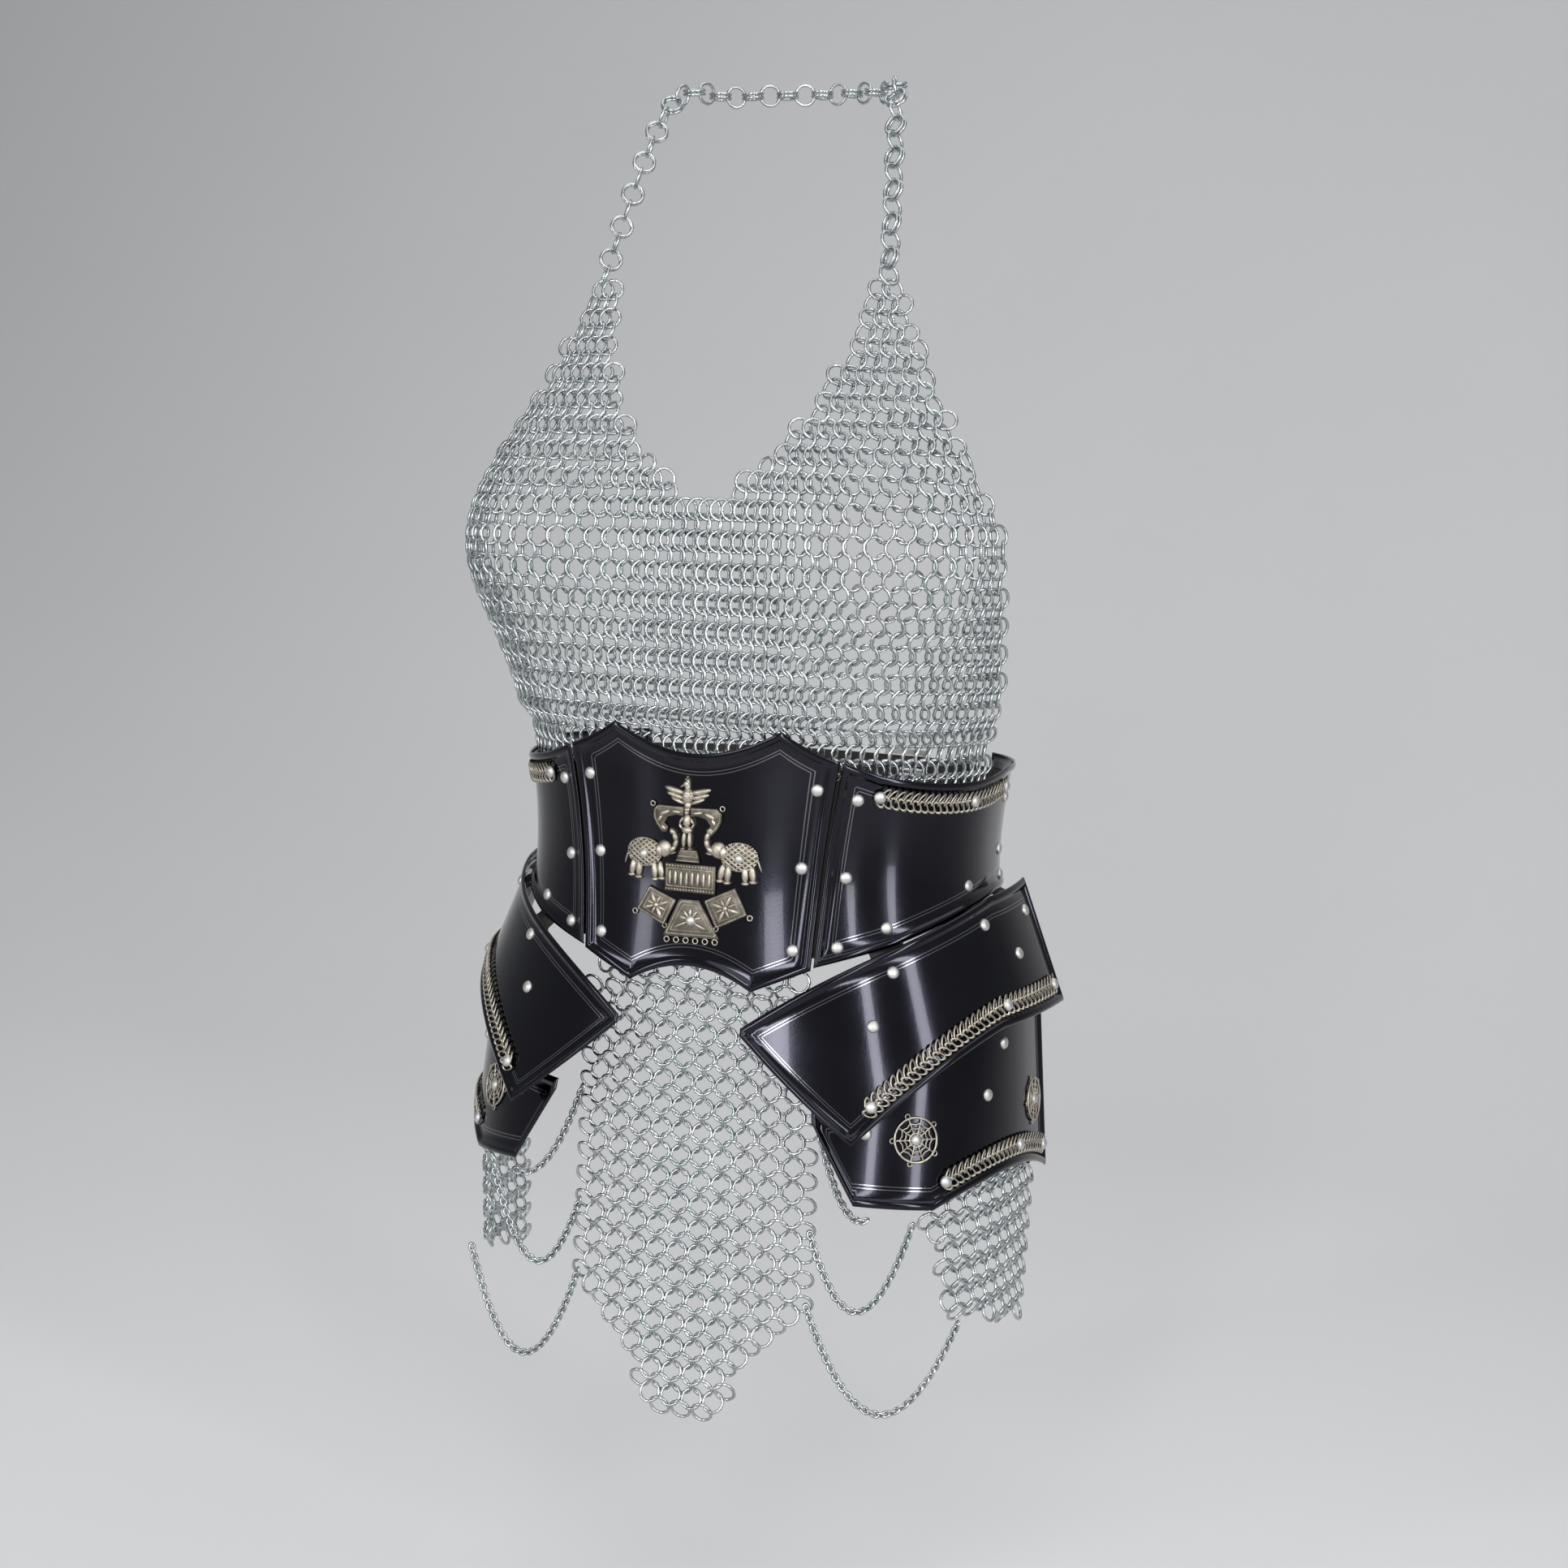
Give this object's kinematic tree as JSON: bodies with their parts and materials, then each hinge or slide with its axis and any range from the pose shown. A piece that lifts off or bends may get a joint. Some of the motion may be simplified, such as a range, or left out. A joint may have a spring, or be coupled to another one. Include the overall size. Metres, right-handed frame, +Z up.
{
  "type": "chainmail and plate cuirass",
  "caption": "Mail halter top with a riveted plate waist belt, hinged tasset plates, a mail apron, hip mail, hanging chains and cast ornament.",
  "frame": {"origin": "on the torso's axis in the waist opening, 27 mm below the centre plate's dip, where the wearer's waist holds the belt", "axes": "+Z up, -Y the way the wearer faces, +X the wearer's left"},
  "size_m": [0.3498, 0.2454, 0.7434],
  "materials": {
    "mail": "bright zinc-plated steel rings",
    "plate": "polished black steel",
    "trim": "antique silver casting",
    "buckle": "satin steel",
    "leather": "black strap leather"
  },
  "bodies": {
    "belt": {"centre_plate": "plate", "side_plate_left": "plate", "side_plate_right": "plate", "belt_trim_left": "trim", "belt_trim_right": "trim", "ornament_crest": "trim", "ornament_panel": "trim", "ornament_elephant_left": "trim", "ornament_elephant_right": "trim", "ornament_charm_left": "trim", "ornament_charm_right": "trim", "ornament_drop": "trim", "seam_leather_left": "leather", "seam_leather_right": "leather", "apron_strip": "leather", "mail_top": "mail", "halter_chain": "mail", "mail_yoke": "mail", "belt_hanger_front_left": "leather", "belt_hanger_front_right": "leather", "belt_hanger_middle_left": "leather", "belt_hanger_middle_right": "leather", "belt_hanger_rear_left": "leather", "belt_hanger_rear_right": "leather", "strap_tail_upper": "leather", "strap_tail_lower": "leather", "buckle_strap_upper": "leather", "buckle_strap_lower": "leather", "buckle_frame_upper": "buckle", "buckle_frame_lower": "buckle"},
    "prong_upper": {"buckle_prong_upper": "buckle"},
    "prong_lower": {"buckle_prong_lower": "buckle"},
    "upper_tasset_left": {"upper_tasset_left": "plate", "upper_trim_left": "trim", "tasset_hanger_front_left": "leather", "tasset_hanger_rear_left": "leather"},
    "upper_tasset_right": {"upper_tasset_right": "plate", "upper_trim_right": "trim", "tasset_hanger_front_right": "leather", "tasset_hanger_rear_right": "leather"},
    "lower_tasset_left": {"lower_tasset_left": "plate", "lower_trim_left": "trim", "rosette_front_left": "trim", "rosette_rear_left": "trim"},
    "lower_tasset_right": {"lower_tasset_right": "plate", "lower_trim_right": "trim", "rosette_front_right": "trim", "rosette_rear_right": "trim"},
    "hip_left": {"hip_mail_left": "mail"},
    "hip_right": {"hip_mail_right": "mail"},
    "apron": {"mail_apron": "mail", "drape_high_left": "mail", "drape_high_right": "mail", "drape_middle_left": "mail", "drape_middle_right": "mail", "drape_low_left": "mail", "drape_low_right": "mail"}
  },
  "joints": [
    {"name": "upper_tasset_left_swing", "type": "hinge", "parent": "belt", "child": "upper_tasset_left", "pos_m": [0.13701, -0.04347, -0.062], "axis": [-0.3691, -0.8964, -0.2454], "range_deg": [0, 35]},
    {"name": "upper_tasset_right_swing", "type": "hinge", "parent": "belt", "child": "upper_tasset_right", "pos_m": [-0.13701, -0.04347, -0.062], "axis": [-0.3691, 0.8964, 0.2454], "range_deg": [0, 35]},
    {"name": "lower_tasset_left_swing", "type": "hinge", "parent": "upper_tasset_left", "child": "lower_tasset_left", "pos_m": [0.12665, -0.06597, -0.12], "axis": [-0.5528, -0.7347, -0.3931], "range_deg": [0, 22]},
    {"name": "lower_tasset_right_swing", "type": "hinge", "parent": "upper_tasset_right", "child": "lower_tasset_right", "pos_m": [-0.12665, -0.06597, -0.12], "axis": [-0.5528, 0.7347, 0.3931], "range_deg": [0, 22]},
    {"name": "hip_mail_left_swing", "type": "hinge", "parent": "lower_tasset_left", "child": "hip_left", "pos_m": [0.12419, -0.09205, -0.18594], "axis": [-0.3237, -0.9462, 0], "range_deg": [0, 5]},
    {"name": "hip_mail_right_swing", "type": "hinge", "parent": "lower_tasset_right", "child": "hip_right", "pos_m": [-0.12419, -0.09205, -0.18594], "axis": [-0.3237, 0.9462, 0], "range_deg": [0, 5]},
    {"name": "apron_swing", "type": "hinge", "parent": "belt", "child": "apron", "pos_m": [0, -0.09944, -0.10363], "axis": [-1, 0, 0], "range_deg": [0, 15]},
    {"name": "prong_upper_turn", "type": "hinge", "parent": "belt", "child": "prong_upper", "pos_m": [0.06085, 0.10604, 0.00091], "axis": [0, 0, -1], "range_deg": [0, 15]},
    {"name": "prong_lower_turn", "type": "hinge", "parent": "belt", "child": "prong_lower", "pos_m": [0.06017, 0.10485, -0.02953], "axis": [0, 0, -1], "range_deg": [0, 15]}
  ]
}
